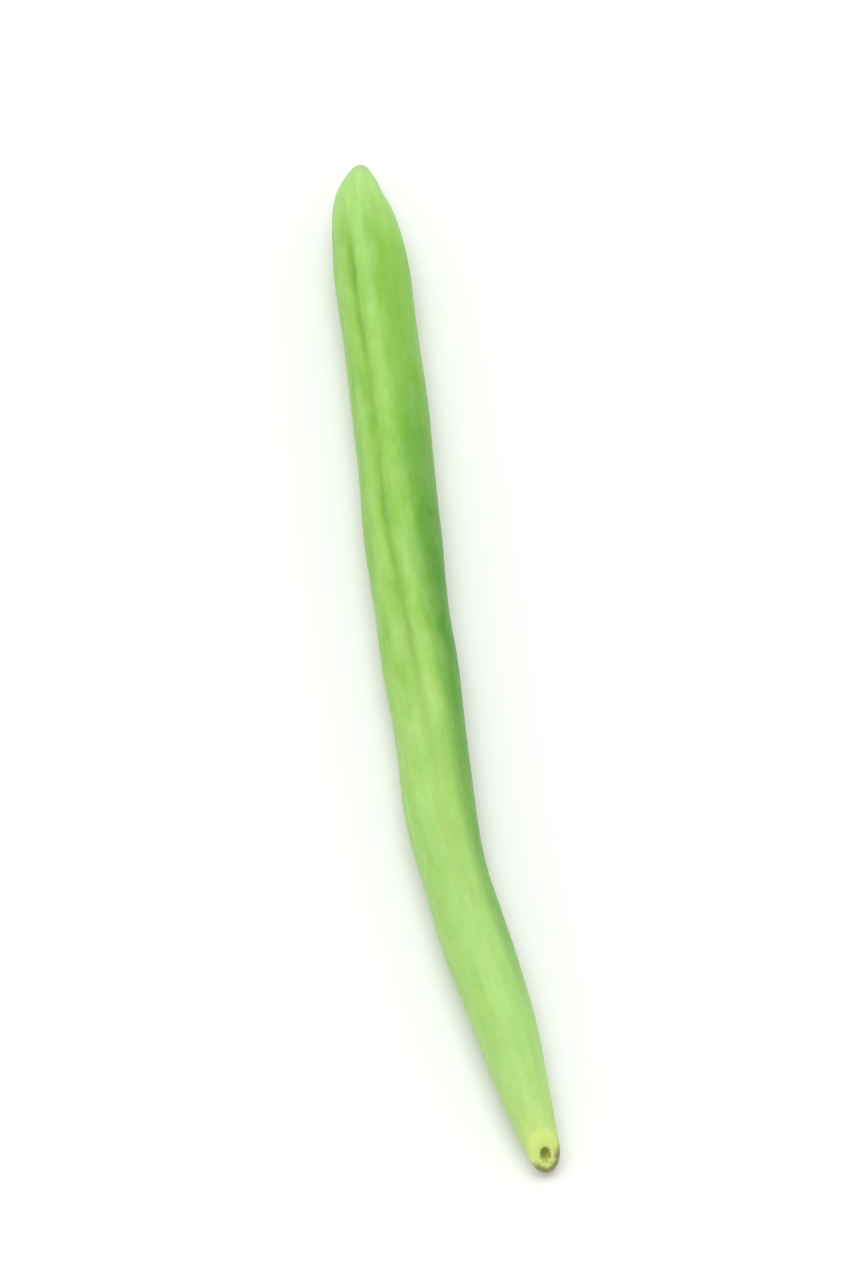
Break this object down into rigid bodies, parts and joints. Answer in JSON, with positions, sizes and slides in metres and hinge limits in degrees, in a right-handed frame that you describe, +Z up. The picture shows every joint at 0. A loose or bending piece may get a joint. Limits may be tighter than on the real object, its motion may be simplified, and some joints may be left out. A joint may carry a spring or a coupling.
{
  "type": "green bean",
  "caption": "Whole fresh green bean pod lying on its side, slender and slightly bowed, with a stem scar and a hooked beak.",
  "frame": {"origin": "middle of the bean's box, on the surface that it lies on", "axes": "+Z up from the surface, +Y along the pod from the stem scar to the beak end, +X to the right, away from the bow"},
  "size_m": [0.0114, 0.1262, 0.0088],
  "materials": {
    "pod_skin": "satin"
  },
  "bodies": {
    "root": {"pod": "pod_skin"}
  },
  "joints": []
}
